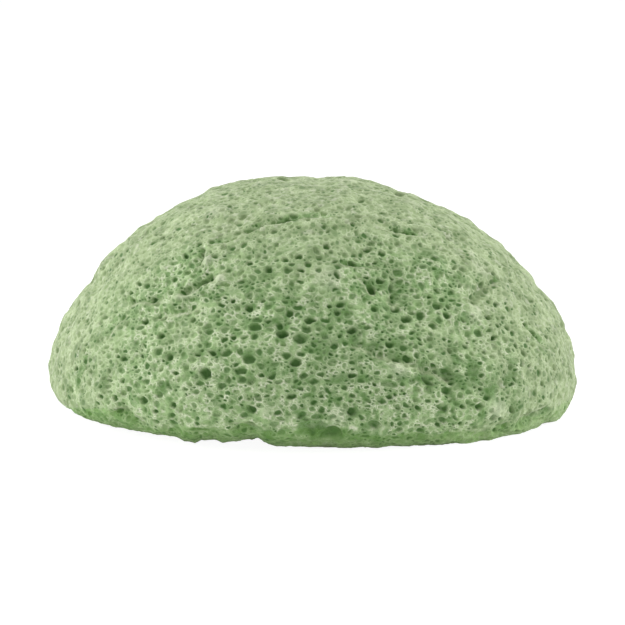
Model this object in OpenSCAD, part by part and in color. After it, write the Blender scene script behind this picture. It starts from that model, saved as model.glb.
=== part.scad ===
// Konjac sponge: a half-ball puff cast in one piece of open-celled konjac foam.
// The foot is flat at Z = 0, the crown points up and the front faces -Y.

/* [Body] */
// Width across the widest line, left to right
body_w = 80; // [60:0.5:90]
// Depth across the widest line, front to back
body_d = 78; // [58:0.5:88]
// Height from the flat foot to the top of the crown
body_h = 35; // [26:0.2:44]

/* [Rim] */
// Height of the widest line above the foot
rim_h = 5.2; // [3:0.1:9]
// How far the flat of the foot lies inside the widest line
rim_inset = 5.5; // [4.5:0.1:12]
// How far the foot's outline wanders in and out
rim_wander = 2.8; // [0:0.1:3]

/* [Surface] */
// How far the flanks are drawn in between the rim and the crown
flank_draw = 1.2; // [0:0.1:2.5]
// Height of the slow unevenness that the casting has all over
uneven = 0.3; // [0:0.05:0.8]
// How far the lumps stand out, at the most
lump_rise = 0.9; // [0:0.05:2]
// How deep the creases are, at the most
crease_sink = 1.3; // [0:0.05:2.5]

/* [Pores] */
// Diameter of the largest open pores
pore_d = 2.3; // [1.2:0.1:3.5]
// Diameter of the smallest open pores that are cut
pore_small_d = 1.3; // [0.8:0.1:2]
// Number of open pores cut in the dome
dome_pores = 170; // [0:1:220]
// Number of open pores cut in the foot
foot_pores = 40; // [0:1:60]

/* [Hidden] */
half_w = body_w / 2;
half_d = body_d / 2;
dome_h = body_h - rim_h;

// Turn from each pore of a spiral to the next, in degrees, and the turn of the swing in their sizes.
golden_turn = 137.508;
size_turn = 3 * golden_turn;

// Rows of points: the dome is a disc of rings with 6, 12, 18 ... points, and the rim repeats its last ring.
dome_rings = 26;
rim_rings = 4;
round_points = 6 * dome_rings;

// Where the flanks are drawn in, and over how much of the dome's height, as shares of it.
flank_share = 0.45;
flank_spread_share = 0.22;

// Slow unevenness: lobes around, lobes from rim to crown, turn in degrees, share of the height named above.
uneven_shares = [
    [3, 1, 20, 0.6],
    [5, 2, 130, 0.5],
    [8, 3, 75, 0.4],
    [13, 4, 10, 0.25],
];

// The wandering outline of the foot: lobes around, turn in degrees, share of rim_wander.
wander_shares = [
    [1, 255, 1],
    [7, 0, 0.2],
    [11, 70, 0.15],
];

// Lumps: bearing round the dome and climb towards the crown in degrees, reach as a share of the
// width, rise as a share of lump_rise, below zero for a dent. Bearing 270 is the front.
lump_shares = [
    [272, 44, 0.10, 0.8],
    [236, 44, 0.06, 0.9],
    [312, 6, 0.10, 1.0],
    [222, 12, 0.12, 0.3],
    [284, 68, 0.09, 0.5],
    [355, 50, 0.14, -1.5],
    [5, 17, 0.09, 0.6],
    [182, 16, 0.07, 0.2],
    [140, 74, 0.10, 0.6],
    [50, 78, 0.08, 0.5],
    [30, 35, 0.12, 0.6],
    [80, 22, 0.10, 0.9],
    [118, 40, 0.10, 0.6],
    [150, 24, 0.11, 0.8],
];

// Creases: bearing and climb of each end in degrees, reach across as a share of the width, sink as
// a share of crease_sink.
crease_shares = [
    [283, 52, 292, 30, 0.030, 0.8],
    [292, 30, 310, 16, 0.034, 1.0],
    [241, 62, 232, 36, 0.024, 0.7],
    [258, 70, 276, 72, 0.018, 0.8],
    [302, 66, 308, 62, 0.020, 0.6],
    [338, 30, 332, 12, 0.022, 0.6],
    [60, 55, 95, 40, 0.030, 0.8],
    [140, 30, 175, 42, 0.028, 0.7],
    [15, 18, 40, 12, 0.026, 0.6],
];

function sum(values, i = 0) = i < len(values) ? values[i] + sum(values, i + 1) : 0;

function bell(distance, reach) = exp(-pow(distance / reach, 2));

function distance_to_segment(p, a, b) =
    let (along = max(0, min(1, ((p - a) * (b - a)) / ((b - a) * (b - a))))) norm(p - a - along * (b - a));

// How far in from the widest line the edge of the flat foot lies at a bearing.
function foot_inset(bearing) = rim_inset + rim_wander * sum([
    for (w = wander_shares) w[2] * sin(w[0] * bearing + w[1])
]);

// A point of the smooth dome. Below the widest line, climb runs from 0 to -90 round the rim.
function smooth_point(bearing, climb) =
    climb >= 0
        ? let (draw = flank_draw * bell(sin(climb) - flank_share, flank_spread_share))
          [(half_w * cos(climb) - draw) * cos(bearing),
           (half_d * cos(climb) - draw) * sin(bearing),
           rim_h + dome_h * sin(climb)]
        : let (inset = foot_inset(bearing) * (1 - cos(climb)))
          [(half_w - inset) * cos(bearing), (half_d - inset) * sin(bearing), rim_h * (1 + sin(climb))];

function lumps_at(p) = lump_rise * sum([
    for (l = lump_shares) l[3] * bell(norm(p - smooth_point(l[0], l[1])), l[2] * body_w)
]);

function creases_at(p) = crease_sink * sum([
    for (c = crease_shares)
        c[5] * bell(distance_to_segment(p, smooth_point(c[0], c[1]), smooth_point(c[2], c[3])), c[4] * body_w)
]);

function uneven_at(bearing, climb) = uneven * cos(climb) * sum([
    for (u = uneven_shares) u[3] * sin(u[0] * bearing + u[2]) * cos(2 * u[1] * climb + u[2])
]);

// The way that the surface is pushed at a point: out of the dome, and level round the rim.
function push_way(bearing, climb) =
    let (tilt = max(climb, 0)) [cos(tilt) * cos(bearing), cos(tilt) * sin(bearing), sin(tilt)];

function skin_point(bearing, climb) =
    let (p = smooth_point(bearing, climb))
    p + (lumps_at(p) - creases_at(p) + uneven_at(bearing, climb)) * push_way(bearing, climb);

function ring_start(ring) = ring == 0 ? 0 : 1 + 3 * ring * (ring - 1);

// The triangles of one dome ring, between it and the ring inside it, a sixth at a time.
function dome_ring_faces(ring) =
    let (outer = ring_start(ring), inner = ring_start(ring - 1), inner_points = max(6 * (ring - 1), 1))
    [for (sixth = [0:5]) each concat(
        [for (j = [0:ring - 1]) [
            outer + (sixth * ring + j + 1) % (6 * ring),
            outer + sixth * ring + j,
            inner + (sixth * (ring - 1) + j) % inner_points]],
        [for (j = [0:1:ring - 2]) [
            inner + (sixth * (ring - 1) + j + 1) % inner_points,
            outer + sixth * ring + j + 1,
            inner + (sixth * (ring - 1) + j) % inner_points]])];

// The triangles between one full round of points and the next one down.
function rim_faces(upper, lower) =
    [for (j = [0:round_points - 1]) let (k = (j + 1) % round_points) each [
        [upper + j, upper + k, lower + j],
        [upper + k, lower + k, lower + j]]];

module skin() {
    rim_start = ring_start(dome_rings);
    dome_points = [for (ring = [0:dome_rings]) let (points = max(6 * ring, 1)) each
        [for (j = [0:points - 1]) skin_point(360 * j / points, 90 * (1 - ring / dome_rings))]];
    rim_points = [for (ring = [1:rim_rings]) each
        [for (j = [0:round_points - 1]) skin_point(360 * j / round_points, -90 * ring / rim_rings)]];
    foot_start = rim_start + rim_rings * round_points;
    polyhedron(
        points = concat(dome_points, rim_points),
        faces = concat(
            [for (ring = [1:dome_rings]) each dome_ring_faces(ring)],
            [for (ring = [1:rim_rings]) each
                rim_faces(rim_start + (ring - 1) * round_points, rim_start + ring * round_points)],
            [[for (j = [0:round_points - 1]) foot_start + j]]));
}

// One open pore: a ball-shaped hollow whose middle lies in the surface.
module pore(place, diameter) {
    translate(place) sphere(d = diameter, $fn = 24);
}

function pore_size(i) = pore_small_d + (pore_d - pore_small_d) * pow(sin(size_turn * i), 2);

// A spiral of pores from the crown down to the widest line.
module pores_of_dome() {
    for (i = [1:dome_pores])
        pore(skin_point(golden_turn * i, asin(1 - i / (dome_pores + 1))), pore_size(i));
}

// A spiral of pores over the flat foot, which stays clear of its middle and of its edge.
module pores_of_foot() {
    reach = 1 - (rim_wander + pore_d / 2) / (half_w - rim_inset);
    for (i = [1:foot_pores])
        let (share = reach * sqrt(i / (foot_pores + 1)), bearing = golden_turn * i)
        pore([share * (half_w - rim_inset) * cos(bearing), share * (half_d - rim_inset) * sin(bearing), 0],
            pore_size(i));
}

module foam_body() {
    color([0.62, 0.72, 0.52])
    difference() {
        skin();
        if (dome_pores > 0)
            pores_of_dome();
        if (foot_pores > 0)
            pores_of_foot();
    }
}

foam_body();
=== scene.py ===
# Konjac sponge: the looks of the one foam body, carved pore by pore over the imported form.
import itertools
import math

import bmesh
import bpy
import numpy as np
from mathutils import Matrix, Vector
from mathutils.bvhtree import BVHTree


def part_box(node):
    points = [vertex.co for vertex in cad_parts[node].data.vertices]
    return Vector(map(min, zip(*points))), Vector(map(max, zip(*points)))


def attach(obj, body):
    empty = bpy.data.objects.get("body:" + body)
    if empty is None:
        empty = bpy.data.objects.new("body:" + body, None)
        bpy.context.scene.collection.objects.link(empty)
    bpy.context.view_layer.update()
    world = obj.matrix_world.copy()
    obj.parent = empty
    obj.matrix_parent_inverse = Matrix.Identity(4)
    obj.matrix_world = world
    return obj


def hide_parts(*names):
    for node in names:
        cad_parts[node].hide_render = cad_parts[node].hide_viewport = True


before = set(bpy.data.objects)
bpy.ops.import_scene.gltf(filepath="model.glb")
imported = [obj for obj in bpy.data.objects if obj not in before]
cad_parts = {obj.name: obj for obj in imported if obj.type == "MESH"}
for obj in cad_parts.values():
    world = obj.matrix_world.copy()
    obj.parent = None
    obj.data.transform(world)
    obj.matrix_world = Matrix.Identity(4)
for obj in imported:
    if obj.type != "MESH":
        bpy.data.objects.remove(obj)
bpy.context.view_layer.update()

MM = 0.001

# Where chance starts. Most noises add a number to it, so that no two look the same.
SEED = 7

# The photograph's view: the camera stands in front, a little above level, and looks along +Y.
PHOTO_PX = 625
SENSOR = 36
LENS = 171.2
CAMERA_RISE = math.radians(8)
CAMERA_AWAY = 450 * MM
AIM = Vector((0, 0, 14.6 * MM))
CAMERA_BACK = Vector((0, -math.cos(CAMERA_RISE), math.sin(CAMERA_RISE)))
CAMERA_UP = Vector((0, math.sin(CAMERA_RISE), math.cos(CAMERA_RISE)))
CAMERA_SPOT = AIM + CAMERA_BACK * CAMERA_AWAY

# How wide a pixel of the photograph is for each unit of distance.
PIXEL_SLOPE = SENSOR / LENS / PHOTO_PX

# The body's form, which the blank follows before it is fitted to the CAD solid.
LOW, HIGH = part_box("foam_body")
HALF_WIDTH = (HIGH.x - LOW.x) / 2
HALF_DEPTH = (HIGH.y - LOW.y) / 2
MIDDLE = Vector(((HIGH.x + LOW.x) / 2, (HIGH.y + LOW.y) / 2, 0))
RIM_HEIGHT = 5.2 * MM
RIM_INSET = 5.5 * MM

# How many steps its profile has over the dome, the rim and the foot, and the share of its squares that the
# foot keeps, because it is hardly seen.
PROFILE_STEPS = (180, 45, 90)
FOOT_SHARE = 0.6

# How far the whole skin is drawn in, because its swells stand out past the smooth form.
EASE = 0.12 * MM

# The blank: squares along each side of the cube that it starts from, how often they are halved, and how
# much of its sixth of the bake's map each side fills.
BLANK_SQUARES = 50
HALVINGS = 3
MAP_SHARE = 0.99

# The fit to the CAD solid: how far out its rays start, and how often the rise is spread and smoothed.
RAY_START = 8 * MM
SPREAD_ROUNDS = 10
SMOOTH_ROUNDS = 4


# Reading and smoothing of mesh data

def read(group, name, width):
    """One property of every item of a mesh, as rows of that many numbers."""
    values = np.empty(len(group) * width, np.float32)
    group.foreach_get(name, values)
    return values.reshape(-1, width) if width > 1 else values


def write_spots(mesh, spots):
    mesh.vertices.foreach_set("co", spots.astype(np.float32).ravel())
    mesh.update()


def edge_ends(mesh):
    ends = np.empty(len(mesh.edges) * 2, np.int32)
    mesh.edges.foreach_get("vertices", ends)
    return ends.reshape(-1, 2)


def blurred(values, ends, rounds):
    """Each value averaged with those at the other ends of its edges, that many times."""
    a, b = ends.T
    shares = 1 + np.bincount(a, minlength=len(values)) + np.bincount(b, minlength=len(values))
    for _ in range(rounds):
        total = values + np.bincount(a, values[b], len(values)) + np.bincount(b, values[a], len(values))
        values = total / shares
    return values


def scrambled(cells, seed):
    """Three numbers from 0 to 1 for each whole-number place, the same in every run."""
    x, y, z = cells.astype(np.int64).T
    mixed = (x * 73856093 ^ y * 19349663 ^ z * 83492791 ^ seed * 26544357) & 0xFFFFFFFF
    columns = []
    for _ in range(3):
        mixed = (mixed * 1664525 + 1013904223) & 0xFFFFFFFF
        mixed ^= mixed >> 15
        columns.append((mixed & 0xFFFF) / 0x10000)
    return np.stack(columns, 1)


def soft_noise(spots, size, seed):
    """Smooth noise from -1 to 1 whose lumps are about that size."""
    cell = np.floor(spots / size)
    part = spots / size - cell
    part = part * part * (3 - 2 * part)
    total = np.zeros(len(spots))
    for corner in itertools.product((0, 1), repeat=3):
        weight = np.prod(np.where(corner, part, 1 - part), axis=1)
        total += weight * scrambled(cell + corner, seed)[:, 0]
    return 2 * total - 1


def cell_walls(spots, size, seed):
    """For each spot, how far it is from the wall between its two nearest foam cells of about that size, and
    the chance number of the cell that it is in."""
    base = np.floor(spots / size)
    nearest = np.full(len(spots), 9.0)
    second = np.full(len(spots), 9.0)
    number = np.zeros(len(spots))
    for step in itertools.product((-1, 0, 1), repeat=3):
        cell = base + step
        chance = scrambled(cell, seed)
        gap = np.linalg.norm(spots / size - cell - chance, axis=1)
        number = np.where(gap < nearest, (chance[:, 0] + chance[:, 1]) % 1, number)
        second = np.minimum(second, np.maximum(nearest, gap))
        nearest = np.minimum(nearest, gap)
    return (second - nearest) * size / 2, number


# The blank

def body_profile():
    """The body's outline as (reach, height) from the crown over the rim to the middle of the foot, the way
    that each stretch faces, and the share of the whole surface that lies above each point."""
    half = (HALF_WIDTH + HALF_DEPTH) / 2
    dome_steps, rim_steps, foot_steps = PROFILE_STEPS
    dome = np.radians(np.linspace(90, 0, dome_steps + 1))
    under = np.radians(np.linspace(0, -90, rim_steps + 1))[1:]
    across = np.linspace(half - RIM_INSET, 0, foot_steps + 1)[1:]
    reach = np.concatenate([half * np.cos(dome), half - RIM_INSET * (1 - np.cos(under)), across])
    height = np.concatenate([
        RIM_HEIGHT + (HIGH.z - RIM_HEIGHT) * np.sin(dome),
        RIM_HEIGHT * (1 + np.sin(under)),
        np.zeros(len(across)),
    ])
    facing = np.stack([-np.gradient(height), np.gradient(reach)], 1)
    facing /= np.linalg.norm(facing, axis=1)[:, None]
    bands = np.hypot(np.diff(reach), np.diff(height)) * (reach[1:] + reach[:-1])
    bands[len(dome) + len(under) - 1:] *= FOOT_SHARE
    above = np.concatenate([[0], np.cumsum(bands)])
    return reach, height, facing, above / above[-1]


def foam_blank():
    """A cube whose sides are nets of squares, with each side laid out on its own sixth of the bake's map."""
    bm = bmesh.new()
    bmesh.ops.create_cube(bm, size=2)
    bmesh.ops.subdivide_edges(bm, edges=bm.edges[:], cuts=BLANK_SQUARES - 1, use_grid_fill=True)
    bm.normal_update()
    layer = bm.loops.layers.uv.new("OFBake")
    for face in bm.faces:
        side = max(range(3), key=lambda axis: abs(face.normal[axis]))
        first, second = [axis for axis in range(3) if axis != side]
        row = 0 if face.normal[side] < 0 else 1
        for loop in face.loops:
            u = (1 + MAP_SHARE * loop.vert.co[first]) / 2
            v = (1 + MAP_SHARE * loop.vert.co[second]) / 2
            loop[layer].uv = ((side + u) / 3, (row + v) / 2)
    mesh = bpy.data.meshes.new("foam_blank")
    bm.to_mesh(mesh)
    bm.free()
    return mesh


def lay_on_profile(mesh):
    """Where the cube's points lie round the body's profile, with the squares even in size, and the way that
    each point faces."""
    cube = read(mesh.vertices, "co", 3).astype(float)
    ball = np.tan(cube * math.pi / 4)
    ball /= np.linalg.norm(ball, axis=1)[:, None]
    reach, height, facing, above = body_profile()
    share = (1 - ball[:, 2]) / 2
    level = np.hypot(ball[:, 0], ball[:, 1])
    way = ball[:, :2] / np.maximum(level, 1e-9)[:, None]
    half = (HALF_WIDTH + HALF_DEPTH) / 2
    oval = np.array([HALF_WIDTH / half, HALF_DEPTH / half])
    flat = way * np.interp(share, above, reach)[:, None] * oval
    spots = np.column_stack([flat + np.array(MIDDLE)[:2], np.interp(share, above, height)])
    out = np.column_stack([
        way * np.interp(share, above, facing[:, 0])[:, None] / oval,
        np.interp(share, above, facing[:, 1]),
    ])
    return spots, out / np.linalg.norm(out, axis=1)[:, None]


def fit_to_body(mesh, spots, out):
    """Moves the blank onto the CAD solid, over the mouths of the pores that are cut there."""
    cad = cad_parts["foam_body"].data
    solid = BVHTree.FromPolygons([v.co for v in cad.vertices], [p.vertices for p in cad.polygons])
    rise = np.zeros(len(spots))
    for i, (spot, way) in enumerate(zip(spots, out)):
        hit = solid.ray_cast(Vector(spot + way * RAY_START), Vector(-way), 2 * RAY_START)
        rise[i] = 0 if hit[0] is None else RAY_START - hit[3]
    ends = edge_ends(mesh)
    for _ in range(SPREAD_ROUNDS):
        rise = np.maximum(rise, blurred(rise, ends, 1))
    rise = blurred(rise, ends, SMOOTH_ROUNDS)
    write_spots(mesh, spots + out * rise[:, None])


def halved(mesh):
    """The mesh with every square halved a few times, rounded as it goes."""
    blank = bpy.data.objects.new(mesh.name, mesh)
    bpy.context.scene.collection.objects.link(blank)
    finer = blank.modifiers.new("finer", "SUBSURF")
    finer.levels = finer.render_levels = HALVINGS
    seen = blank.evaluated_get(bpy.context.evaluated_depsgraph_get())
    dense = bpy.data.meshes.new_from_object(seen)
    bpy.data.objects.remove(blank)
    return dense


# Creases and lips, as lines through pixels of the photograph: how far across they reach, how deep they sink
# and how far the lip below them stands out, in millimetres.
CREASES = [
    ([(248, 229), (258, 225), (275, 221), (290, 218)], 0.7, 0.8, 0.4),
    ([(290, 218), (308, 215), (325, 216)], 0.8, 0.5, 0.2),
    ([(212, 243), (230, 240), (241, 233)], 0.6, 0.3, 0.2),
    ([(199, 262), (203, 250)], 0.7, 0.8, 0.0),
    ([(184, 290), (195, 286), (209, 277)], 0.8, 1.1, 0.5),
    ([(158, 315), (178, 311), (196, 305)], 0.6, 0.4, 0.2),
    ([(132, 300), (150, 301), (160, 298)], 0.6, 0.5, 0.1),
    ([(120, 318), (108, 332)], 0.8, 0.5, 0.0),
    ([(392, 228), (405, 230), (416, 234)], 0.7, 0.8, 0.5),
    ([(345, 262), (360, 264), (376, 266)], 0.6, 0.6, 0.2),
    ([(360, 276), (368, 284), (372, 292)], 0.6, 0.6, 0.2),
    ([(392, 260), (396, 275), (394, 300)], 0.8, 0.6, 0.1),
    ([(356, 344), (380, 352), (398, 358), (412, 362)], 0.7, 0.6, 0.1),
    ([(424, 366), (436, 370), (449, 377)], 0.7, 0.7, 0.1),
    ([(452, 345), (456, 370), (450, 395)], 1.1, 0.5, 0.1),
    ([(470, 372), (485, 388)], 1.6, 0.6, 0.0),
    ([(524, 318), (532, 330), (542, 342)], 0.7, 0.5, 0.2),
    ([(505, 352), (512, 366), (508, 380)], 1.4, 0.7, 0.0),
    ([(474, 300), (484, 286), (496, 280)], 0.7, 0.6, 0.1),
    ([(112, 413), (124, 414), (136, 422)], 0.8, 0.7, 0.3),
    ([(234, 428), (244, 428), (252, 431)], 0.8, 0.7, 0.2),
    ([(78, 382), (84, 368), (87, 352)], 0.7, 0.3, 0.1),
    ([(310, 432), (322, 431), (334, 432)], 1.1, 0.9, 0.0),
    ([(520, 421), (534, 417), (546, 410)], 0.8, 0.6, 0.2),
]

# Small knolls of the photographed side: (x, y) in its pixels, reach and rise in millimetres.
KNOLLS = [
    (221, 279, 1.0, 0.7), (209, 260, 0.9, 0.7), (265, 412, 1.2, 0.4), (340, 418, 2.2, 0.4),
    (398, 371, 1.8, 0.4), (497, 410, 2.4, 0.5), (480, 268, 2.4, 0.4), (548, 392, 2.4, 0.3),
    (330, 280, 2.8, 0.4), (216, 213, 2.4, 0.4), (475, 315, 2.0, 0.4), (217, 362, 1.8, 0.3),
    (182, 390, 2.0, 0.3), (330, 336, 1.2, 0.3), (100, 268, 2.0, 0.4), (128, 240, 2.0, 0.3),
    (505, 300, 1.6, 0.3), (350, 182, 2.2, 0.4), (258, 186, 2.4, 0.3), (412, 205, 2.4, 0.3),
]

# Lumps and dents of the photographed outline, in the same form. A dent's rise is below zero.
OUTLINE_LUMPS = [
    (91, 280, 1.6, -0.75), (71, 306, 1.4, -0.2), (125, 241, 0.8, -0.3), (135, 232, 0.8, -0.3),
    (161, 214, 1.3, -0.25), (205, 189, 1.6, 0.3), (222, 184, 2.0, 0.35), (240, 180, 2.0, 0.2),
    (262, 177, 1.4, 0.15), (290, 178, 1.1, -0.4), (300, 178, 1.0, -0.45), (322, 178, 1.6, -0.6),
    (332, 178, 1.0, -0.2), (398, 191, 1.0, -0.3), (450, 210, 1.4, 0.3), (469, 220, 1.6, 0.35),
    (516, 261, 1.3, -0.4), (536, 286, 1.0, -0.35), (545, 296, 1.0, -0.1), (559, 313, 1.2, -0.15),
    (567, 333, 1.1, -0.4), (571, 349, 0.9, -0.25), (573, 392, 1.0, -0.25), (569, 404, 1.2, -0.35),
    (555, 420, 1.2, 0.3),
]

# A lump runs on along the line of sight as long as the skin turns away from the outline by less than this.
OUTLINE_TURN = 0.35

# Places of the photographed side where the foam is closed and shady, or, below zero, open and pale: (x, y)
# in its pixels, reach in millimetres and strength. They paint partly the shade and highlights of its relief
# and partly the foam's own tone.
TONES = [
    (267, 272, 1.4, 1.4), (276, 281, 1.0, 0.7), (415, 338, 1.6, 1.2), (425, 352, 1.2, 0.7),
    (388, 312, 1.2, 1.2), (446, 366, 1.6, 1.0), (353, 336, 1.3, 1.0), (328, 350, 1.5, 1.0),
    (369, 437, 1.8, 1.0), (320, 435, 1.8, 0.8), (125, 424, 1.3, 1.2), (196, 286, 1.1, 1.2),
    (277, 368, 1.2, 0.9), (417, 230, 1.4, 0.9), (180, 340, 1.5, 0.8), (207, 403, 1.2, 0.9),
    (366, 265, 1.2, 0.8), (467, 389, 1.3, 0.8), (503, 359, 1.3, 0.8), (137, 374, 1.5, 0.6),
    (264, 219, 1.2, 0.7), (111, 311, 1.2, 0.6), (236, 383, 1.1, 0.7), (470, 260, 1.6, 0.6),
    (522, 384, 1.2, 0.6), (511, 314, 1.3, 0.5), (193, 436, 1.2, 0.8), (172, 235, 1.3, 0.5),
    (337, 243, 1.2, 0.5), (410, 410, 1.0, 0.6),
    (172, 411, 1.6, -1.2), (470, 411, 1.8, -1.2), (226, 274, 1.5, -1.1), (177, 297, 1.2, -0.9),
    (334, 182, 1.5, -0.6), (175, 395, 1.2, -0.8), (341, 425, 1.6, -0.8), (352, 228, 1.3, -0.8),
    (469, 437, 1.3, -0.8), (348, 296, 1.5, -0.8), (96, 373, 1.8, -0.7), (270, 410, 1.3, -0.9),
    (357, 386, 1.2, -0.7), (125, 402, 1.2, -0.7), (206, 335, 1.2, -0.7), (81, 412, 1.5, -0.7),
    (404, 282, 1.3, -0.7), (532, 342, 1.3, -0.5), (70, 385, 2.0, -0.5), (270, 320, 1.5, -0.5),
    (148, 402, 2.0, -0.9), (253, 367, 1.3, -0.9), (452, 437, 1.3, -0.7), (222, 420, 1.6, -0.6),
    (412, 392, 1.2, 0.9), (459, 362, 1.2, 0.8), (152, 333, 1.3, 0.8), (104, 396, 1.2, 0.8),
    (310, 345, 7.0, 0.2),
]

# How far the rim is lifted off the floor in front, in millimetres, by column of the photograph.
RIM_LINE = [
    (50, 0.0), (155, 0.05), (166, 0.3), (174, 0.25), (182, -0.3), (193, -0.3), (200, 0.5), (214, 0.5),
    (222, 0.2), (232, 0.4), (245, 0.6), (252, 0.75), (258, 0.95), (262, 0.8), (268, 0.25), (275, 0.0),
    (300, 0.0), (430, -0.1), (445, -0.5), (475, -0.5), (488, -0.6), (495, -0.9), (503, -0.6), (525, -0.6),
    (548, -0.3), (560, 0.2), (580, 0.2),
]

# The upper edge of the green underside, as a line through pixels of the photograph.
UNDER_LINE = [
    (60, 405), (80, 409), (112, 409), (132, 412), (138, 420), (143, 427), (160, 428), (168, 430),
    (176, 426), (198, 428), (220, 432), (232, 428), (242, 422), (252, 427), (258, 431), (285, 431),
    (300, 428), (340, 429), (355, 434), (390, 436), (405, 432), (420, 433), (440, 436), (455, 432),
    (485, 433), (497, 428), (513, 421), (525, 417), (538, 416), (548, 412), (566, 401), (578, 394),
]

# Creases round the back, in the form of CREASES, but through (bearing, climb) in degrees.
BACK_CREASES = [
    ([(62, 55), (78, 50), (95, 40)], 1.4, 0.8, 0.4),
    ([(140, 30), (158, 35), (175, 42)], 1.2, 0.8, 0.3),
    ([(15, 18), (28, 15), (40, 12)], 1.0, 0.7, 0.3),
    ([(110, 68), (135, 64), (150, 55)], 0.9, 0.6, 0.4),
    ([(80, 14), (100, 20), (118, 16)], 1.0, 0.6, 0.3),
]

# The largest pores that the photograph shows: (x, y, width) in its pixels, by how deep they look.
DARK_PORES = [
    (282, 334, 13), (205, 374, 13), (310, 319, 12), (248, 307, 9), (296, 363, 12), (353, 330, 10),
    (390, 344, 10), (396, 309, 11), (406, 320, 13), (326, 245, 10), (308, 264, 8), (301, 270, 8),
    (285, 259, 8), (299, 256, 7), (249, 262, 7), (290, 313, 8), (368, 249, 10), (382, 252, 8),
    (375, 262, 5), (377, 266, 5), (380, 281, 9), (366, 277, 6), (371, 289, 10), (448, 315, 9),
    (251, 409, 10), (291, 397, 10), (261, 375, 6), (212, 352, 9), (143, 400, 10), (169, 357, 9),
    (161, 335, 10), (144, 321, 8), (152, 300, 8), (164, 317, 9), (117, 356, 5), (140, 355, 5),
    (123, 381, 8), (114, 398, 8), (100, 396, 8), (172, 405, 7), (156, 412, 6), (175, 373, 8),
    (497, 304, 8), (488, 317, 9), (495, 337, 8), (484, 285, 8), (493, 273, 8), (453, 349, 9),
    (514, 383, 7), (530, 365, 6), (480, 406, 10), (462, 407, 6), (450, 411, 9), (444, 406, 5),
    (461, 424, 6), (467, 424, 5), (414, 391, 8), (389, 397, 8), (352, 375, 8), (408, 360, 9),
    (430, 380, 8), (206, 273, 5), (205, 283, 5), (214, 257, 6), (222, 305, 7),
    (233, 337, 6), (233, 300, 5), (419, 339, 5), (430, 296, 6), (340, 305, 9), (374, 309, 6),
    (278, 413, 6), (268, 381, 5), (482, 388, 5), (507, 372, 5), (192, 287, 6), (131, 293, 7),
    (321, 397, 5), (301, 406, 4), (352, 396, 7), (351, 411, 10), (376, 384, 6), (396, 395, 5),
    (434, 367, 7), (437, 401, 5), (439, 426, 6), (418, 408, 5), (370, 392, 4), (340, 379, 6),
]
MIDDLING_PORES = [
    (301, 338, 14), (307, 329, 11), (288, 270, 9), (292, 264, 7), (277, 259, 7), (241, 281, 8),
    (244, 244, 9), (239, 222, 11), (259, 240, 9), (300, 281, 8), (319, 270, 8), (319, 258, 7),
    (255, 327, 11), (257, 319, 9), (255, 336, 9), (285, 302, 7), (226, 352, 12), (249, 359, 13),
    (241, 371, 12), (242, 379, 9), (221, 386, 9), (286, 355, 11), (301, 354, 9), (304, 375, 9),
    (314, 381, 10), (320, 374, 8), (301, 415, 10), (393, 288, 11), (357, 276, 8), (452, 291, 8),
    (434, 259, 10), (421, 315, 10), (438, 306, 10), (368, 327, 9), (454, 348, 8), (433, 325, 8),
    (147, 381, 9), (128, 389, 8), (159, 351, 10), (185, 389, 8), (126, 412, 9), (172, 416, 8),
    (494, 286, 8), (475, 297, 8), (479, 332, 12), (508, 327, 9), (513, 321, 8), (466, 345, 8),
    (535, 393, 9), (540, 401, 6), (528, 418, 13), (485, 429, 9), (469, 372, 6), (483, 375, 8),
    (265, 434, 12), (354, 429, 11), (370, 427, 8), (383, 431, 10), (243, 426, 9),
    (443, 421, 9), (361, 417, 8), (340, 378, 8), (82, 379, 7), (141, 263, 7), (106, 302, 7),
    (332, 327, 8), (338, 267, 9), (404, 348, 8), (421, 256, 7), (414, 233, 6), (468, 258, 7),
    (325, 367, 6), (301, 389, 6), (296, 381, 6), (345, 388, 7), (322, 410, 9), (351, 400, 6),
    (367, 387, 5), (402, 384, 5), (383, 401, 8), (428, 401, 6), (420, 431, 8), (407, 405, 7),
    (449, 391, 10), (326, 424, 6), (390, 377, 6), (400, 423, 5), (405, 416, 7),
]
SHALLOW_PORES = [
    (253, 278, 8), (259, 290, 8), (268, 285, 8), (268, 307, 9), (397, 271, 10), (411, 275, 9),
    (398, 280, 9), (444, 284, 10), (406, 283, 7), (321, 232, 9), (270, 240, 8), (291, 242, 7),
    (225, 330, 8), (121, 370, 9), (107, 356, 7), (137, 371, 8), (156, 404, 7), (169, 386, 8),
    (150, 358, 7), (274, 425, 10), (316, 417, 9), (261, 366, 8), (275, 364, 8), (521, 339, 7),
    (489, 369, 8), (300, 431, 15), (322, 431, 16), (411, 252, 7), (401, 257, 6), (222, 291, 7),
    (222, 267, 6), (411, 431, 8),
]

# Each kind of photographed pore, its depth as a share of its reach and how dark the shade painted inside it
# is.
PHOTO_PORES = [(DARK_PORES, 1.1, 0.95), (MIDDLING_PORES, 0.7, 0.8), (SHALLOW_PORES, 0.45, 0.45)]
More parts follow.
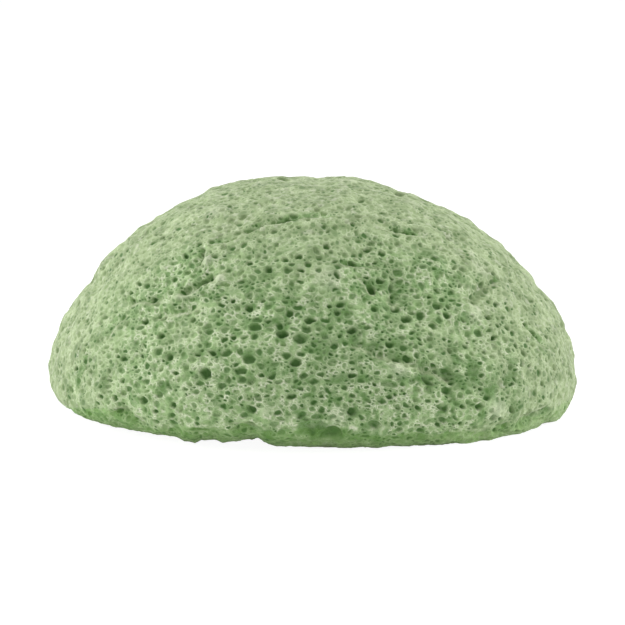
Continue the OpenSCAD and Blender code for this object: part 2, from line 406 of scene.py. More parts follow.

# Long hollows near the rim: (x, y, width, height) in the photograph's pixels, the turn of the long side in
# degrees, depth as a share of the width and the darkness of the shade painted inside.
LONG_PORES = [
    (330, 434, 24, 15, 0, 0.35, 0.75), (314, 434, 9, 8, 0, 0.6, 1.0), (300, 430, 20, 6, 12, 0.25, 0.7),
    (266, 433, 14, 6, -8, 0.25, 0.6), (247, 427, 14, 6, -25, 0.3, 0.9), (200, 431, 22, 6, -4, 0.2, 0.6),
    (373, 426, 15, 9, 15, 0.35, 0.6), (353, 430, 13, 6, 40, 0.3, 0.6), (383, 431, 10, 8, 25, 0.6, 0.85),
    (395, 439, 14, 4, -4, 0.2, 0.8), (367, 437, 11, 4, 0, 0.25, 0.8), (527, 418, 15, 7, 25, 0.35, 0.7),
    (485, 429, 11, 6, 15, 0.35, 0.6), (126, 414, 16, 5, -12, 0.25, 0.8), (129, 412, 9, 6, 0, 0.4, 0.7),
    (445, 408, 16, 8, -30, 0.4, 0.8), (424, 440, 10, 3, 10, 0.3, 0.7), (288, 439, 9, 4, 10, 0.3, 0.8),
    (414, 391, 15, 8, 5, 0.4, 0.9), (428, 381, 14, 6, -35, 0.5, 1.0), (389, 384, 16, 9, -10, 0.15, 0.4),
    (447, 374, 15, 7, -25, 0.3, 0.7),
]

# Chance pores, from large to small: least and greatest reach, tries, the wall that is left between two, and
# the share of deep dark ones on the sides that the photograph doesn't show.
CHANCE_PORES = [
    (0.62 * MM, 1.00 * MM, 700, 0.60 * MM, 0.7),
    (0.45 * MM, 0.64 * MM, 14000, 0.06 * MM, 0.12),
    (0.30 * MM, 0.45 * MM, 40000, 0.02 * MM, 0.05),
    (0.20 * MM, 0.30 * MM, 80000, 0.0, 0.0),
    (0.14 * MM, 0.20 * MM, 70000, 0.0, 0.0),
]

# How far pores are pushed out of round in long and in short waves, and how long those waves are.
PORE_WARP = 0.15 * MM
WARP_WAVE = 0.9 * MM
PORE_RAG = 0.06 * MM
RAG_WAVE = 0.35 * MM

# How much further a pore reaches than its edge in the photograph, how far beyond that it looks for points,
# and the gap that a point has before any pore has come near.
PORE_EDGE = 0.06 * MM
PORE_ROOM = 0.9 * MM
FAR = 9 * MM

# How far from its place on the blank a photographed pore looks for its middle point in the dense skin.
SITE_ROOM = 1.6 * MM

# Half the wall between two pores, as a share of their reach and its least and most, and how far past its
# own edge a pore goes that has no neighbour there.
WALL_SHARE = 0.25
WALL_BOUNDS = (0.03 * MM, 0.11 * MM)
LONE_EDGE = 0.12 * MM

# The fine web: the size of its cells, how deep its windows sink and how far its threads stand out.
FINE_CELL = 0.42 * MM
WINDOW_DEPTH = 0.15 * MM
THREAD_RISE = 0.04 * MM

# The skin's swells and small unevenness, as their height and the length of their waves, and its grain.
SWELL = 0.34 * MM
SWELL_WAVE = 2.2 * MM
RIPPLE = 0.08 * MM
RIPPLE_WAVE = 0.6 * MM
GRAIN = 0.007 * MM

# The dapples of the closed skin: strength, size in millimetres and number of the noise.
DAPPLES = [(1.2, 1.4, 15), (0.8, 0.7, 16), (0.4, 0.35, 17)]

# The lines of the creases: how far they wander and in what waves, how near a point has to be to follow that,
# how far below its crease a lip stands, in reaches of the crease, and how near the line it fades out.
CREASE_WANDER = 0.25 * MM
WANDER_WAVE = 3 * MM
WANDER_ROOM = 6 * MM
LIP_DROP = 1.6
LIP_FADE = 0.2 * MM

# The sink of a crease and the rise of a lip or knoll at which the finish shows them in full, as painted
# shade in a crease and a painted highlight on a lip or knoll.
FULL_FOLD = 0.8 * MM
FULL_CREST = 0.6 * MM

# The rim's lift fades upwards over this share of the rim's height, and inwards between these shares of the
# half depth. The rim's front is nearer to the camera than the middle by this share of the half depth.
LIFT_HEIGHT = 0.5
LIFT_DEPTHS = (0.3, 0.5)
RIM_NEARER = 0.85

# The green underside: the heights between which it ends behind, how far out from the middle the flat of the
# foot gives way to it, as shares of the half width and depth, the columns of the photograph between which it
# gets fainter, and the heights between which the floor's bounce light, painted on the edge of the foot,
# ends.
BAND_HEIGHTS = (1.6 * MM, 2.8 * MM)
BAND_STARTS = (0.72, 0.80)
FAINT_COLUMNS = (440, 560)
EDGE_HEIGHTS = (0.4 * MM, 2.0 * MM)


def sight_line(x, y):
    """The way from the camera through a pixel of the photograph."""
    right = (x - PHOTO_PX / 2) / PHOTO_PX * SENSOR / LENS
    up = (PHOTO_PX / 2 - y) / PHOTO_PX * SENSOR / LENS
    return (Vector((right, 0, 0)) + CAMERA_UP * up - CAMERA_BACK).normalized()


def seen_at(body, x, y):
    """Where a pixel of the photograph falls on the body, or None beside it."""
    spot = body.ray_cast(CAMERA_SPOT, sight_line(x, y))[0]
    return None if spot is None else np.array(spot)


def met_at(body, bearing, climb):
    """Where the body is met from its middle along a bearing and a climb in degrees."""
    turn, tilt = math.radians(bearing), math.radians(climb)
    way = Vector((math.cos(tilt) * math.cos(turn), math.cos(tilt) * math.sin(turn), math.sin(tilt)))
    return np.array(body.ray_cast(MIDDLE + Vector((0, 0, RIM_HEIGHT)), way)[0])


def gap_to_line(spots, line):
    """The distance from each spot to a line of points, and the step to the nearest place on it."""
    gap = np.full(len(spots), np.inf)
    step = np.zeros((len(spots), 3))
    for a, b in zip(line[:-1], line[1:]):
        share = np.clip((spots - a) @ (b - a) / ((b - a) @ (b - a)), 0, 1)
        to_line = a + share[:, None] * (b - a) - spots
        length = np.linalg.norm(to_line, axis=1)
        nearer = length < gap
        gap[nearer] = length[nearer]
        step[nearer] = to_line[nearer]
    return gap, step


def smooth_step(values, low, high):
    """0 up to low, 1 from high on, and an S-shaped climb between them."""
    share = np.clip((values - low) / (high - low), 0, 1)
    return share * share * (3 - 2 * share)


def bell(gap, reach):
    """1 where the gap is nothing, falling off softly over a reach in millimetres."""
    return np.exp(-(gap / (reach * MM)) ** 2)


def store(mesh, name, values):
    mesh.attributes.new(name, "FLOAT", "POINT").data.foreach_set("value", values.astype(np.float32))


def stored(mesh, name):
    return read(mesh.attributes[name].data, "value", 1)


# Creases, knolls and outline

def creases_and_knolls(body, spots):
    """How far the creases sink each point, and how far their lips and the knolls raise it."""
    wander = soft_noise(spots, WANDER_WAVE, SEED) * CREASE_WANDER
    lines = [([seen_at(body, x, y) for x, y in line], *sizes) for line, *sizes in CREASES]
    lines += [([met_at(body, *place) for place in line], *sizes) for line, *sizes in BACK_CREASES]
    fold = np.zeros(len(spots))
    crest = np.zeros(len(spots))
    for line, reach, sink, lip in lines:
        gap, step = gap_to_line(spots, line)
        gap = np.abs(gap + wander * (gap < WANDER_ROOM))
        fold += sink * MM * bell(gap, reach)
        below = np.clip(step[:, 2] / np.maximum(gap, LIP_FADE), 0, 1)
        crest += lip * MM * below * bell(gap - LIP_DROP * reach * MM, reach)
    for x, y, reach, rise in KNOLLS:
        site = seen_at(body, x, y)
        if site is not None:
            crest += rise * MM * bell(np.linalg.norm(spots - site, axis=1) + wander, reach)
    return fold, crest


def outline_rise(spots, out):
    """How far the lumps of the photographed outline raise each point."""
    lumps = np.zeros(len(spots))
    for x, y, reach, rise in OUTLINE_LUMPS:
        sight = np.array(sight_line(x, y))
        gap = np.linalg.norm(np.cross(spots - np.array(CAMERA_SPOT), sight), axis=1)
        lumps += rise * MM * np.exp(-(gap / (reach * MM)) ** 2 - (out @ sight / OUTLINE_TURN) ** 2)
    return lumps


def rim_lift(spots):
    """How far each point is lifted off the floor in front."""
    columns, lifts = np.array(RIM_LINE).T
    pixel = PIXEL_SLOPE * (CAMERA_AWAY - RIM_NEARER * HALF_DEPTH)
    lift = MM * np.interp(PHOTO_PX / 2 + spots[:, 0] / pixel, columns, lifts)
    lift *= np.exp(-(spots[:, 2] / (LIFT_HEIGHT * RIM_HEIGHT)) ** 2)
    inner, outer = LIFT_DEPTHS
    return lift * smooth_step(-spots[:, 1], inner * HALF_DEPTH, outer * HALF_DEPTH)


def press_creases(mesh, body):
    """Sinks and raises the skin, lifts the rim, and keeps where the skin is folded in and stands out."""
    spots = read(mesh.vertices, "co", 3).astype(float)
    out = read(mesh.vertices, "normal", 3).astype(float)
    fold, crest = creases_and_knolls(body, spots)
    moved = spots + out * (crest + outline_rise(spots, out) - fold - EASE)[:, None]
    moved[:, 2] += rim_lift(spots)
    write_spots(mesh, moved)
    store(mesh, "fold", np.clip(fold / FULL_FOLD, 0, 1))
    store(mesh, "crest", np.clip(crest / FULL_CREST, 0, 1))


# Pores and web

class Surface:
    """The dense skin as arrays of points, and the pores that are opened in it one after the other."""

    # The points are sorted into cubes of this size, so that those near a place are found fast.
    CUBE = 1.0 * MM

    def __init__(self, mesh):
        self.spots = read(mesh.vertices, "co", 3).astype(float)
        self.out = read(mesh.vertices, "normal", 3).astype(float)
        warp = [soft_noise(self.spots, WARP_WAVE, SEED + axis) for axis in range(3)]
        ragged = [soft_noise(self.spots, RAG_WAVE, SEED + 20 + axis) for axis in range(3)]
        self.bent = self.spots + PORE_WARP * np.stack(warp, 1) + PORE_RAG * np.stack(ragged, 1)
        self.gap = np.full(len(self.spots), FAR)
        self.next_gap = self.gap.copy()
        self.owner = np.zeros(len(self.spots), int)
        self.reaches = []
        self.depths = []
        self.darks = []
        self.corner = self.spots.min(0) - self.CUBE
        cubes = ((self.spots - self.corner) / self.CUBE).astype(int)
        self.size = cubes.max(0) + 2
        keys = self.key(cubes[:, 0], cubes[:, 1]) + cubes[:, 2]
        self.order = np.argsort(keys, kind="stable")
        self.keys = keys[self.order]

    def mark_regions(self, mesh, body):
        """Marks how shady, how far under, how closed over, how raised and how webbed each point is."""
        self.patch = shady_patches(self, mesh, body)
        self.band = underside(self)
        self.closed = closed_skin_and_sheen(self) * (1 - self.band)
        self.crest = smooth_step(stored(mesh, "crest"), 0.6, 1.0)
        self.slow = self.noise(4, 5)

    def noise(self, size, number):
        """The noise of that number on every point, with its size in millimetres."""
        return soft_noise(self.spots, size * MM, SEED + number)

    def key(self, i, j):
        return (i * self.size[1] + j) * self.size[2]

    def near(self, place, reach):
        """The points in the cubes that a ball at place touches."""
        low = np.maximum(((place - reach - self.corner) / self.CUBE).astype(int), 0)
        high = np.minimum(((place + reach - self.corner) / self.CUBE).astype(int), self.size - 1)
        columns = self.key(*np.mgrid[low[0]:high[0] + 1, low[1]:high[1] + 1]).ravel()
        starts = np.searchsorted(self.keys, columns + low[2])
        stops = np.searchsorted(self.keys, columns + high[2] + 1)
        return np.concatenate([self.order[start:stop] for start, stop in zip(starts, stops)])

    def nearest(self, place):
        points = self.near(place, SITE_ROOM)
        return points[np.linalg.norm(self.spots[points] - place, axis=1).argmin()]

    def owned(self, values):
        """For each point, the value of the pore that it belongs to."""
        return np.array(values)[self.owner]

    def open_pore(self, middle, reach, depth, dark, turn, stretch):
        """Gives the points round a middle point to the pore, as far as they are nearer to its edge than to
        any other pore's. A pore is a little longer one way than the other, and has more or less shade
        painted inside."""
        out = self.out[middle]
        guide = np.array([0.0, 0.0, 1.0]) if abs(out[2]) < 0.8 else np.array([1.0, 0.0, 0.0])
        level = np.cross(guide, out)
        level /= np.linalg.norm(level)
        side = math.cos(turn) * level + math.sin(turn) * np.cross(out, level)
        points = self.near(self.spots[middle], 1.1 * reach + PORE_ROOM)
        step = self.bent[points] - self.bent[middle]
        along = step @ side
        whole = np.einsum("ij,ij->i", step, step)
        across = np.maximum(whole - along ** 2, 0)
        gap = np.sqrt((along / stretch) ** 2 + across * stretch ** 2) - reach
        held = self.gap[points]
        nearer = gap < held
        self.next_gap[points] = np.where(nearer, held, np.minimum(self.next_gap[points], gap))
        self.gap[points] = np.where(nearer, gap, held)
        self.owner[points[nearer]] = len(self.reaches)
        self.reaches.append(reach)
        self.depths.append(depth)
        self.darks.append(dark)


def shady_patches(surface, mesh, body):
    """How shady the foam is painted: by chance, more in the creases as shade in them, and as the photograph
    shows it in places.
    """
    patch = surface.noise(1.5, 9) + 0.5 * surface.noise(0.8, 12)
    # Painted shade: the creases make the foam shady.
    patch += 0.5 * stored(mesh, "fold")
    for x, y, reach, strength in TONES:
        patch += strength * bell(np.linalg.norm(surface.spots - seen_at(body, x, y), axis=1), reach)
    return patch


def closed_skin_and_sheen(surface):
    """How far the skin is closed over: hardly in front and behind, more towards both ends and the crown. The
    finish also paints a pale grey sheen there.
    """
    turned = 1 - np.abs(surface.out[:, 1]) + 0.2 * surface.noise(6, 13)
    return smooth_step(turned, 0.15, 0.65)


def underside(surface):
    """How far the skin belongs to the green underside: below a line of the photograph in front, low down
    behind, and outside the flat of the foot all round."""
    uneven = surface.noise(1.2, 14)
    step = surface.spots - np.array(CAMERA_SPOT)
    pixel = step @ np.array(-CAMERA_BACK) / LENS * SENSOR / PHOTO_PX
    x = PHOTO_PX / 2 + step[:, 0] / pixel
    y = PHOTO_PX / 2 - step @ np.array(CAMERA_UP) / pixel
    below = smooth_step(y - np.interp(x, *np.array(UNDER_LINE).T) + uneven, -1.5, 1.5)
    below *= 1 - 0.5 * smooth_step(x, *FAINT_COLUMNS)
    low = 1 - smooth_step(surface.spots[:, 2] + 0.8 * MM * uneven, *BAND_HEIGHTS)
    shown = smooth_step(surface.out @ np.array(CAMERA_BACK), -0.7, -0.1)
    middle_gap = np.hypot(surface.spots[:, 0] / HALF_WIDTH, surface.spots[:, 1] / HALF_DEPTH)
    outside = smooth_step(middle_gap + 0.02 * uneven, *BAND_STARTS) * (surface.out[:, 2] > -0.97)
    return (shown * below + (1 - shown) * low) * outside


def open_photographed_pores(rng, surface, body):
    """The long hollows near the rim, and then the round pores with a little chance in turn and depth."""
    pixel = PIXEL_SLOPE * CAMERA_AWAY
    for x, y, width, height, turn, depth_share, dark in LONG_PORES:
        site = seen_at(body, x, y)
        if site is not None:
            reach = math.sqrt(width * height) * pixel / 2 + PORE_EDGE
            stretch = math.sqrt(width / height)
            depth = depth_share * width * pixel
            surface.open_pore(surface.nearest(site), reach, depth, dark, math.radians(turn), stretch)
    for places, depth_share, dark in PHOTO_PORES:
        for x, y, width in places:
            site = seen_at(body, x, y)
            if site is not None:
                turn, stretch = rng.normal(0, 0.3), rng.uniform(1.06, 1.26)
                reach = (width * pixel / 2 + PORE_EDGE) / stretch
                depth = depth_share * reach * rng.uniform(0.85, 1.15)
                surface.open_pore(surface.nearest(site), reach, depth, dark, turn, stretch)


def open_chance_pores(rng, surface):
    """Pores strewn at random, with smaller and smaller ones in the room that is left. The shade painted
    inside them is darker where the foam is shady, and many are sealed over where it is closed or stands out.
    The photographed side has its large ones already, so it gets none of the first kind, and no deep ones."""
    large = CHANCE_PORES[0][0]
    for least, greatest, tries, wall, deep_share in CHANCE_PORES:
        middles = rng.integers(0, len(surface.spots), tries)
        reaches = rng.uniform(least, greatest, tries)
        fronts = surface.out[middles] @ np.array(CAMERA_BACK) > 0.15
        deep = (rng.random(tries) < deep_share) & ~fronts
        depths = reaches * np.where(deep, 1.35, 0.25 + 1.0 * rng.beta(1.1, 2.2, tries))
        # How dark the shade painted inside each pore is, darker in the shady patches.
        darks = rng.beta(0.7, 0.9, tries) * np.clip(0.9 + 1.4 * surface.patch[middles], 0.1, 1.6)
        darks = np.where(deep, 1.0, darks)
        sealed = rng.random(tries) < np.maximum(0.3 * surface.closed, 0.6 * surface.crest)[middles]
        depths *= np.where(sealed, 0.35, 1)
        darks *= np.where(sealed, 0.4, 1 - 0.1 * surface.closed[middles])
        turns = rng.normal(0, 0.6, tries)
        stretches = rng.uniform(1.0, 1.35, tries)
        for middle, reach, depth, dark, turn, stretch, front in zip(
                middles, reaches, depths, darks, turns, stretches, fronts):
            shown_already = front and least >= large
            if not shown_already and surface.gap[middle] > reach + wall:
                surface.open_pore(middle, reach, depth, dark, turn, stretch)


def pore_form(surface):
    """How far inside its pore each point lies, how deep it is sunk there, and how much it is wall."""
    reach = surface.owned(surface.reaches)
    half_wall = np.clip(WALL_SHARE * reach, *WALL_BOUNDS)
    half_wall *= 1 + 0.8 * surface.noise(0.8, 10)
    from_wall = (np.minimum(surface.next_gap, 2 * MM) - surface.gap) / 2
    edge = np.minimum(from_wall, LONE_EDGE - surface.gap) - half_wall
    inner = np.clip(edge / reach, 0, 1)
    bowl = surface.owned(surface.depths) * np.sqrt(inner * (2 - inner))
    bowl *= (1 - 0.3 * surface.band) * (1 - 0.2 * surface.closed)
    wall = bell(edge, 0.1)
    wall = np.where(edge < 0, np.maximum(wall, 0.4), wall) * (1 - 0.2 * surface.band)
    return inner, bowl, wall * (1.1 - 0.5 * surface.closed)


def fine_web(surface, inner, bowl):
    """The fine web over floors and walls: how much each point is a thread, how much it is a window, and how
    strong the web is there."""
    gap, number = cell_walls(surface.bent - surface.out * bowl[:, None], FINE_CELL, SEED + 6)
    thread = bell(gap, 0.08)
    window = (1 - thread) * np.clip((number - 0.5) / 0.4, 0, 1)
    strength = np.clip(0.7 + 0.5 * surface.slow, 0.2, 1) * (0.4 + 1.2 * np.sqrt(inner))
    strength *= (1 - 0.3 * surface.band) * (1.05 - 0.75 * surface.closed) * (1 - 0.3 * surface.crest)
    return thread, window, strength


def carve(mesh, surface, rng, depth):
    """Moves each point in by its depth and a little grain, and out by the swells, but not below 0."""
    swell = SWELL * soft_noise(surface.spots, SWELL_WAVE, SEED + 4)
    swell += RIPPLE * (1 - 0.6 * surface.closed) * soft_noise(surface.spots, RIPPLE_WAVE, SEED + 8)
    grain = (1 - 0.5 * surface.closed) * rng.normal(0, GRAIN, len(depth))
    depth = (depth + blurred(depth, edge_ends(mesh), 1)) / 2 + grain
    spots = surface.spots + surface.out * (swell - depth)[:, None]
    spots[:, 2] = np.maximum(spots[:, 2], 0)
    write_spots(mesh, spots)


def keep_web(mesh, surface, wall, thread, window, strength):
    """Keeps the windows, painted deep green as shade in them, and the pale web, which is frayed and thinned
    out by chance and in the shady patches.
    """
    fray = np.clip(0.7 + 1.0 * surface.noise(0.6, 7), 0.1, 1)
    web = wall * fray * np.clip(0.9 + 0.3 * surface.slow - 0.8 * surface.patch, 0.1, 1)
    store(mesh, "web", np.clip(np.maximum(web, 0.4 * thread * strength * fray), 0, 1))
    store(mesh, "window", np.clip(window * strength, 0, 1))


def keep_tone(mesh, surface):
    """Keeps how light each point is, which every pore has its own chance number for, and the dapples. The
    shady patches darken it, partly as painted shade.
    """
    closed = surface.closed
    chance = scrambled(np.column_stack([surface.owner] * 3), SEED)[:, 0]
    small = np.clip(1 - surface.owned(surface.reaches) / (0.55 * MM), 0, 1)
    dapples = sum(
        strength * soft_noise(surface.bent, size * MM, SEED + number) for strength, size, number in DAPPLES)
    tone = (0.45 * chance - 0.22) * (1 - 0.6 * closed) + 0.4 * small + 0.32 - 0.7 * surface.patch
    tone += (0.15 + 0.3 * closed) * dapples + closed * (0.2 - 1.0 * smooth_step(dapples, 0.0, 1.2))
    store(mesh, "shade", np.clip(tone, 0, 1))


def keep_hollows(mesh, surface, inner):
    """Keeps the shade painted into the inside of each pore, in blotches, and where the inside is."""
    dark = np.clip(surface.owned(surface.darks), 0, 1)
    blotch = (0.3 - 0.2 * dark) * surface.noise(0.4, 11)
    core = np.clip((inner - 0.1 + blotch) / 0.3, 0, 1)
    store(mesh, "hollow", 0.95 * dark * core * (1 - 0.2 * surface.band))
    store(mesh, "inside", np.clip(3 * inner, 0, 1))


def carve_foam(mesh, body):
    """Opens the pores, carves them and the fine web, and keeps what the finish has to know of each point."""
    rng = np.random.default_rng(SEED)
    surface = Surface(mesh)
    surface.mark_regions(mesh, body)
    open_photographed_pores(rng, surface, body)
    open_chance_pores(rng, surface)
    inner, bowl, wall = pore_form(surface)
    thread, window, strength = fine_web(surface, inner, bowl)
    carve(mesh, surface, rng, bowl + WINDOW_DEPTH * window * strength - THREAD_RISE * thread * strength)
    keep_web(mesh, surface, wall, thread, window, strength)
    keep_tone(mesh, surface)
    keep_hollows(mesh, surface, inner)
    # The closed skin, which the finish also paints with a pale grey sheen.
    store(mesh, "closed", surface.closed)
    store(mesh, "underside", surface.band)
    # Painted bounce light from the floor on the foot's lowest edge.
    store(mesh, "painted_bounce", surface.band * (1 - smooth_step(surface.spots[:, 2], *EDGE_HEIGHTS)))


def konjac_body():
    blank = foam_blank()
    fit_to_body(blank, *lay_on_profile(blank))
    body = BVHTree.FromPolygons([v.co for v in blank.vertices], [p.vertices for p in blank.polygons])
    mesh = halved(blank)
    press_creases(mesh, body)
    carve_foam(mesh, body)
    mesh.polygons.foreach_set("use_smooth", np.ones(len(mesh.polygons), bool))
    mesh.name = "konjac_foam_body"
    piece = bpy.data.objects.new("konjac_foam_body", mesh)
    bpy.context.scene.collection.objects.link(piece)
    return piece


# Finish

def srgb(red, green, blue):
    """A colour as it is read off a picture, 0 to 255, in the linear values that a shader takes."""
    shares = [part / 255 for part in (red, green, blue)]
    linear = [share / 12.92 if share < 0.04 else ((share + 0.055) / 1.055) ** 2.4 for share in shares]
    return (*linear, 1)


# The pores' deep green and the window and crease green are painted shade (the latter also for dark strands),
# the closed skin's grey a painted sheen, the crest pale a painted highlight (also for pale flecks), and the
# foot's edge green painted floor bounce.
FLOOR_LIGHT = srgb(160, 192, 132)
FLOOR_DARK = srgb(95, 136, 71)
SHADE_AND_STRAND_GREEN = srgb(78, 120, 56)
PORE_SHADE_GREEN = srgb(70, 110, 52)
WEB_PALE = srgb(208, 223, 181)
THREAD_PALE = srgb(223, 231, 202)
HIGHLIGHT_AND_FLECK_PALE = srgb(222, 226, 202)
PAINTED_SHEEN_GREY = srgb(163, 166, 137)
UNDER_GREEN = srgb(120, 164, 82)
BOUNCE_LIT_GREEN = srgb(200, 230, 166)
BLOOM = srgb(245, 238, 232)

# The material's threads, which are finer than the mesh: the size of their cells, their width as a share of a
# cell, and how far and in what waves they are bent.
NET_CELL = 0.30 * MM
NET_THREAD = 0.18
NET_BEND = 0.25 * MM
NET_WAVE = 0.35 * MM

# The material's noises: wide clouds, the lace's patches, the closed skin's flecks, dark strands and the
# bump's grit, and how deep the bump is.
CLOUD = 3.5 * MM
LACE_PATCH = 1.3 * MM
FLECK = 1.2 * MM
STRAND = 0.22 * MM
GRIT = 0.18 * MM
BUMP_DEPTH = 0.05 * MM


class Shades:
    """Small helpers that add the nodes of one material and feed them."""

    def __init__(self, material):
        material.use_nodes = True
        self.nodes = material.node_tree.nodes
        self.links = material.node_tree.links
        self.nodes.clear()

    def add(self, kind, feeds, **settings):
        """A new node with these settings, its inputs fed by other nodes' outputs or by plain values."""
        node = self.nodes.new(kind)
        for name, value in settings.items():
            setattr(node, name, value)
        for name, feed in feeds.items():
            if isinstance(feed, bpy.types.NodeSocket):
                self.links.new(feed, node.inputs[name])
            else:
                node.inputs[name].default_value = feed
        return node

    def mask(self, name):
        return self.add("ShaderNodeAttribute", {}, attribute_name=name).outputs["Fac"]

    def combine(self, operation, first, second):
        return self.add("ShaderNodeMath", {0: first, 1: second}, operation=operation).outputs["Value"]

    def spread(self, source, low, high, to_low=0.0, to_high=1.0):
        """source between low and high, stretched to run from to_low to to_high."""
        feeds = {"Value": source, "From Min": low, "From Max": high, "To Min": to_low, "To Max": to_high}
        return self.add("ShaderNodeMapRange", feeds, clamp=True).outputs["Result"]

    def blend(self, share, first, second):
        """The colour first where share is 0 and second where it is 1."""
        feeds = {"Factor": share, "A": first, "B": second}
        return self.add("ShaderNodeMix", feeds, data_type="RGBA").outputs["Result"]

    def tinted(self, below, name, low, high, share, colour):
        """The colour below, turned to another by up to share as the mask goes from low to high."""
        return self.blend(self.spread(self.mask(name), low, high, 0.0, share), below, colour)

    def noise(self, place, size, detail):
        feeds = {"Vector": place, "Scale": 1 / size, "Detail": detail}
        return self.add("ShaderNodeTexNoise", feeds).outputs["Fac"]

    def chosen(self, share, first, second):
        """The shader first where share is 0 and second where it is 1."""
        return self.add("ShaderNodeMixShader", {0: share, 1: first, 2: second}).outputs["Shader"]


def thread_net(shades, place):
    """1 on the threads of a fine bent net, and 0 in its holes."""
    push = shades.add("ShaderNodeTexNoise", {"Vector": place, "Scale": 1 / NET_WAVE})
    feeds = {0: push.outputs["Color"], "Scale": NET_BEND}
    nudge = shades.add("ShaderNodeVectorMath", feeds, operation="SCALE")
    bent = shades.add("ShaderNodeVectorMath", {0: place, 1: nudge.outputs["Vector"]}, operation="ADD")
    feeds = {"Vector": bent.outputs["Vector"], "Scale": 1 / NET_CELL}
    cells = shades.add("ShaderNodeTexVoronoi", feeds, feature="DISTANCE_TO_EDGE")
    return shades.spread(cells.outputs["Distance"], 0.0, NET_THREAD, 1.0, 0.0)


def web_share(shades, place, threads, open_skin):
    """How much each place is pale web: what the mesh has of it, and a lace of finer threads on open skin."""
    patches = shades.spread(shades.noise(place, LACE_PATCH, 3.0), 0.35, 0.65, 0.0, 0.32)
    lace = shades.combine("MULTIPLY", threads, patches)
    lace = shades.combine("MULTIPLY", lace, shades.spread(shades.mask("inside"), 0.0, 1.0, 1.0, 0.35))
    lace = shades.combine("MULTIPLY", lace, open_skin)
    return shades.combine("MAXIMUM", lace, shades.mask("web"))


def foam_colour(shades, place, web, open_skin):
    """Floors in many greens, then painted shade in the windows and creases, a painted grey sheen on the
    closed skin, pale flecks, painted highlights on the crests, painted floor bounce on the foot's edge, the
    web, dark strands, the green underside and painted shade in pores' insides.
    """
    tone = shades.spread(shades.mask("shade"), 0.0, 1.0, 0.0, 0.8)
    clouds = shades.spread(shades.noise(place, CLOUD, 4.0), 0.32, 0.68, 0.0, 0.2)
    green = shades.blend(shades.combine("ADD", tone, clouds), FLOOR_DARK, FLOOR_LIGHT)
    # Painted shade in the sunk windows of the fine web.
    green = shades.tinted(green, "window", 0.1, 0.9, 0.8, SHADE_AND_STRAND_GREEN)
    # Painted shade in the creases.
    green = shades.tinted(green, "fold", 0.2, 1.0, 0.5, SHADE_AND_STRAND_GREEN)
    # Painted sheen: a pale grey veil over the closed skin towards the ends and the crown.
    green = shades.tinted(green, "closed", 0.0, 1.0, 0.42, PAINTED_SHEEN_GREY)
    # Pale flecks at random on the closed skin.
    flecks = shades.spread(shades.noise(place, FLECK, 5.0), 0.56, 0.68, 0.0, 0.45)
    green = shades.blend(shades.combine("MULTIPLY", flecks, shades.mask("closed")), green, HIGHLIGHT_AND_FLECK_PALE)
    # Painted highlight on the raised crests, lips and knolls.
    green = shades.tinted(green, "crest", 0.3, 1.0, 0.6, HIGHLIGHT_AND_FLECK_PALE)
    # Painted bounce light from the floor on the foot's lowest edge.
    green = shades.tinted(green, "painted_bounce", 0.0, 1.0, 0.8, BOUNCE_LIT_GREEN)
    green = shades.blend(web, green, shades.blend(shades.spread(web, 0.6, 1.0), WEB_PALE, THREAD_PALE))
    strands = shades.spread(shades.noise(place, STRAND, 3.0), 0.46, 0.28, 0.0, 0.45)
    green = shades.blend(shades.combine("MULTIPLY", strands, open_skin), green, SHADE_AND_STRAND_GREEN)
    green = shades.tinted(green, "underside", 0.0, 1.0, 0.4, UNDER_GREEN)
    # Painted shade in the pores' insides.
    return shades.blend(shades.mask("hollow"), green, PORE_SHADE_GREEN)


def konjac_finish():
    """Matt green foam with pale torn cell edges and a faint bloom. It is smoother where the skin is closed,
    with a pale grey sheen painted on there, and a brighter green underneath."""
    material = bpy.data.materials.new("konjac_foam")
    shades = Shades(material)
    place = shades.add("ShaderNodeTexCoord", {}).outputs["Object"]
    threads = thread_net(shades, place)
    open_skin = shades.spread(shades.mask("closed"), 0.0, 1.0, 1.0, 0.3)
    web = web_share(shades, place, threads, open_skin)
    bump = shades.add("ShaderNodeBump", {
        "Strength": shades.spread(open_skin, 0.3, 1.0, 0.10, 0.35),
        "Distance": BUMP_DEPTH,
        "Height": shades.combine("ADD", threads, shades.noise(place, GRIT, 3.0)),
    })
    shader = shades.add("ShaderNodeBsdfPrincipled", {
        "Base Color": foam_colour(shades, place, web, open_skin),
        "Normal": bump.outputs["Normal"],
        "Roughness": 0.75,
        "Specular IOR Level": 0.12,
        "Sheen Weight": shades.spread(shades.mask("underside"), 0.0, 1.0, 0.25, 0.1),
        "Sheen Roughness": 0.45,
        "Sheen Tint": BLOOM,
    })
    shades.add("ShaderNodeOutputMaterial", {"Surface": shader.outputs["BSDF"]})
    return material


# Studio

# The floor: half its width in metres, how far it lies under the foot, the white that it casts back on the
# foam, and the white and the grey of shadows that the camera sees.
FLOOR_HALF = 4
FLOOR_DROP = 0.05 * MM
FLOOR_BOUNCE = (0.97, 0.97, 0.97, 1)
FLOOR_WHITE = 0.94
FLOOR_SHADOW = (0.25, 0.25, 0.25, 1)

# The light that comes from all sides, and each lamp's place and width in metres and its power in watts.
ROOM_LIGHT = 0.26
LAMPS = [
    ("overhead", (-0.05, 0.04, 0.60), 0.40, 2.25),
    ("left_side", (-0.56, 0.08, 0.12), 0.30, 2.2),
    ("right_side", (0.56, 0.08, 0.12), 0.30, 1.95),
    ("front_fill", (0.0, -0.60, 0.04), 0.30, 0.7),
]

# The camera shows nothing that is nearer than this.
CAMERA_NEAR = 10 * MM


def seen_directly(shades):
    """1 for what the camera sees straight, in a reflection or through glass, and 0 for all other light."""
    path = shades.add("ShaderNodeLightPath", {})
    seen = path.outputs["Is Camera Ray"]
    for name in ("Is Glossy Ray", "Is Transmission Ray"):
        seen = shades.combine("MAXIMUM", seen, path.outputs[name])
    return seen


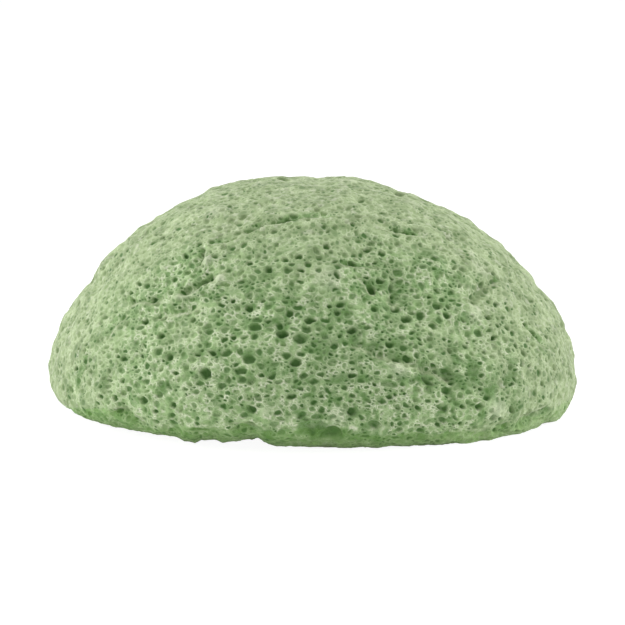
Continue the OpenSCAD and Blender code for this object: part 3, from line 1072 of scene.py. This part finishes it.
def floor_finish():
    """White to the camera with a soft shadow left in it, and a plain white floor to all other light."""
    material = bpy.data.materials.new("studio_floor")
    shades = Shades(material)
    bounce = shades.add("ShaderNodeBsdfDiffuse", {"Color": FLOOR_BOUNCE})
    shadow = shades.add("ShaderNodeBsdfDiffuse", {"Color": FLOOR_SHADOW})
    white = shades.add("ShaderNodeEmission", {"Strength": FLOOR_WHITE})
    seen = shades.add("ShaderNodeAddShader", {0: shadow.outputs["BSDF"], 1: white.outputs["Emission"]})
    surface = shades.chosen(seen_directly(shades), bounce.outputs["BSDF"], seen.outputs["Shader"])
    shades.add("ShaderNodeOutputMaterial", {"Surface": surface})
    return material


def studio_floor():
    bm = bmesh.new()
    bmesh.ops.create_grid(bm, x_segments=1, y_segments=1, size=FLOOR_HALF)
    bmesh.ops.translate(bm, verts=bm.verts, vec=(0, 0, -FLOOR_DROP))
    mesh = bpy.data.meshes.new("studio_floor")
    bm.to_mesh(mesh)
    bm.free()
    floor = bpy.data.objects.new("studio_floor", mesh)
    floor.data.materials.append(floor_finish())
    bpy.context.scene.collection.objects.link(floor)


def soft_lamp(name, spot, width, power):
    """A square lamp that faces the middle of the foam."""
    lamp = bpy.data.lights.new(name, "AREA")
    lamp.shape = "SQUARE"
    lamp.size = width
    lamp.energy = power
    holder = bpy.data.objects.new(name, lamp)
    holder.location = spot
    holder.rotation_euler = (Vector((0, 0, HIGH.z / 2)) - Vector(spot)).to_track_quat("-Z", "Y").to_euler()
    bpy.context.scene.collection.objects.link(holder)


def studio_light():
    """A room with the same light from all sides, white to the camera, and large soft lamps overhead, at each
    side and low in front."""
    world = bpy.data.worlds.new("studio")
    bpy.context.scene.world = world
    shades = Shades(world)
    lights = []
    for strength in (ROOM_LIGHT, 1.0):
        light = shades.add("ShaderNodeBackground", {"Color": (1, 1, 1, 1), "Strength": strength})
        lights.append(light.outputs["Background"])
    shades.add("ShaderNodeOutputWorld", {"Surface": shades.chosen(seen_directly(shades), *lights)})
    for lamp in LAMPS:
        soft_lamp(*lamp)


def photo_camera():
    camera = bpy.data.cameras.new("photo_camera")
    camera.sensor_width = SENSOR
    camera.lens = LENS
    camera.clip_start = CAMERA_NEAR
    holder = bpy.data.objects.new("photo_camera", camera)
    holder.location = CAMERA_SPOT
    holder.rotation_euler = (-CAMERA_BACK).to_track_quat("-Z", "Y").to_euler()
    bpy.context.scene.collection.objects.link(holder)
    bpy.context.scene.camera = holder


foam = konjac_body()
foam.data.materials.clear()
foam.data.materials.append(konjac_finish())
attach(foam, "root")
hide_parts("foam_body")

studio_floor()
studio_light()
photo_camera()
bpy.context.scene.view_settings.view_transform = "Standard"
